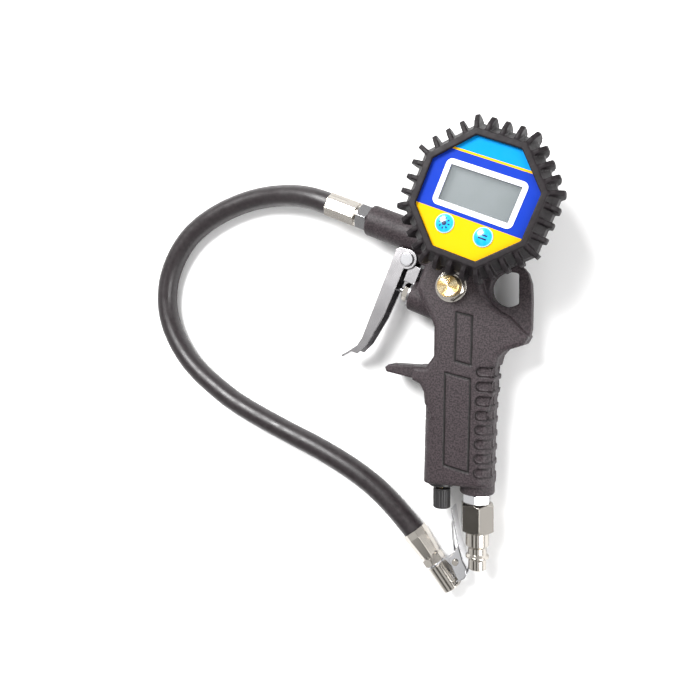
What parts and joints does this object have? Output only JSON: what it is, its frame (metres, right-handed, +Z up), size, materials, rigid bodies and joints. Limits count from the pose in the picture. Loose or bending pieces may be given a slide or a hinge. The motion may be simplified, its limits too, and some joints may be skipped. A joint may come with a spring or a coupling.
{
  "type": "tyre inflator",
  "caption": "Pistol-grip tyre inflator with a rubber-booted digital gauge on its side, a long trigger, a bleed button, a quick plug and a hose with a clip-on chuck.",
  "frame": {"origin": "centre of the tool's footprint, hose and chuck left out, on the surface its back lies on", "axes": "+Z up out of the gauge face, +Y from the quick plug towards the gauge, +X towards the hanging eye"},
  "size_m": [0.2697, 0.2585, 0.0568],
  "materials": {
    "body_plastic": "fine moulded texture",
    "case_plastic": "satin",
    "knob_plastic": "satin",
    "boot_rubber": "satin",
    "hose_rubber": "smooth satin",
    "seal_rubber": "matt",
    "trigger_chrome": "satin chrome",
    "bright_chrome": "bright",
    "nickel": "nickel plate",
    "spring_steel": "drawn wire and sheet",
    "brass": "turned",
    "face_label": "printed in bands of cyan, blue and yellow",
    "white_print": "gloss",
    "display": "grey liquid crystal",
    "window": "clear",
    "button_blue": "domed gloss",
    "board": "solder mask"
  },
  "bodies": {
    "tool": {"handle_body": "body_plastic", "hose_adaptor": "bright_chrome", "gun_ferrule": "nickel", "hose": "hose_rubber", "chuck_ferrule": "nickel", "chuck_nut": "nickel", "chuck_body": "nickel", "chuck_seal": "seal_rubber", "core_depressor": "brass", "clip_bracket": "bright_chrome", "clip_pin": "nickel", "clip_spring": "spring_steel", "trigger_pin": "bright_chrome", "pin_clip": "spring_steel", "trigger_stop": "trigger_chrome", "gland_nut": "nickel", "valve_spring": "spring_steel", "valve_seat": "brass", "stem_seal": "seal_rubber", "bleed_washer": "nickel", "bleed_gland": "nickel", "bleed_spring": "spring_steel", "gauge_stem": "brass", "port_seal": "seal_rubber", "stem_nut": "brass", "pressure_sensor": "nickel", "gauge_case": "case_plastic", "case_cover": "case_plastic", "case_screws": "spring_steel", "rubber_boot": "boot_rubber", "face_plate": "face_label", "lcd_frame": "white_print", "lcd_window": "window", "lcd_module": "display", "button_switches": "nickel", "circuit_board": "board", "battery": "spring_steel", "inlet_nipple": "bright_chrome", "inlet_filter": "brass", "quick_plug": "nickel", "flow_gland": "knob_plastic"},
    "trigger": {"trigger_lever": "trigger_chrome"},
    "valve": {"valve_stem": "bright_chrome"},
    "bleed": {"bleed_button": "brass"},
    "light": {"light_button": "button_blue"},
    "unit": {"unit_button": "button_blue"},
    "needle": {"flow_needle": "brass"},
    "knob": {"flow_knob": "knob_plastic"},
    "clip": {"clip_lever": "bright_chrome"}
  },
  "joints": [
    {"name": "trigger_pull", "type": "hinge", "parent": "tool", "child": "trigger", "pos_m": [-0.0227, 0.05486, 0.014], "axis": [0, 0, 1], "range_deg": [0, 12], "stiffness_Nm_per_rad": 1.5},
    {"name": "valve_slide", "type": "slide", "parent": "tool", "child": "valve", "axis": [0.9205, -0.3907, 0], "range_m": [0, 0.0038], "deforming": ["valve_spring"]},
    {"name": "bleed_press", "type": "slide", "parent": "tool", "child": "bleed", "axis": [0, 0, -1], "range_m": [0, 0.0012], "stiffness_N_per_m": 2500, "deforming": ["bleed_spring"]},
    {"name": "light_press", "type": "slide", "parent": "tool", "child": "light", "axis": [0, 0, -1], "range_m": [0, 0.0006], "stiffness_N_per_m": 800},
    {"name": "unit_press", "type": "slide", "parent": "tool", "child": "unit", "axis": [0, 0, -1], "range_m": [0, 0.0006], "stiffness_N_per_m": 800},
    {"name": "needle_slide", "type": "slide", "parent": "tool", "child": "needle", "axis": [0, 1, 0], "range_m": [0, 0.0009]},
    {"name": "knob_turn", "type": "hinge", "parent": "needle", "child": "knob", "pos_m": [-0.00466, -0.07622, 0.014], "axis": [0, 1, 0], "range_deg": [0, 325]},
    {"name": "clip_swing", "type": "hinge", "parent": "tool", "child": "clip", "pos_m": [0.00273, -0.11814, 0.0076], "axis": [0, 0, 1], "range_deg": [0, 14], "stiffness_Nm_per_rad": 0.3, "deforming": ["clip_spring"]}
  ],
  "couplings": [
    {"joint": "valve_slide", "follows": "trigger_pull", "m_per_rad": 0.0175},
    {"joint": "knob_turn", "follows": "needle_slide", "rad_per_m": 6283.2}
  ]
}
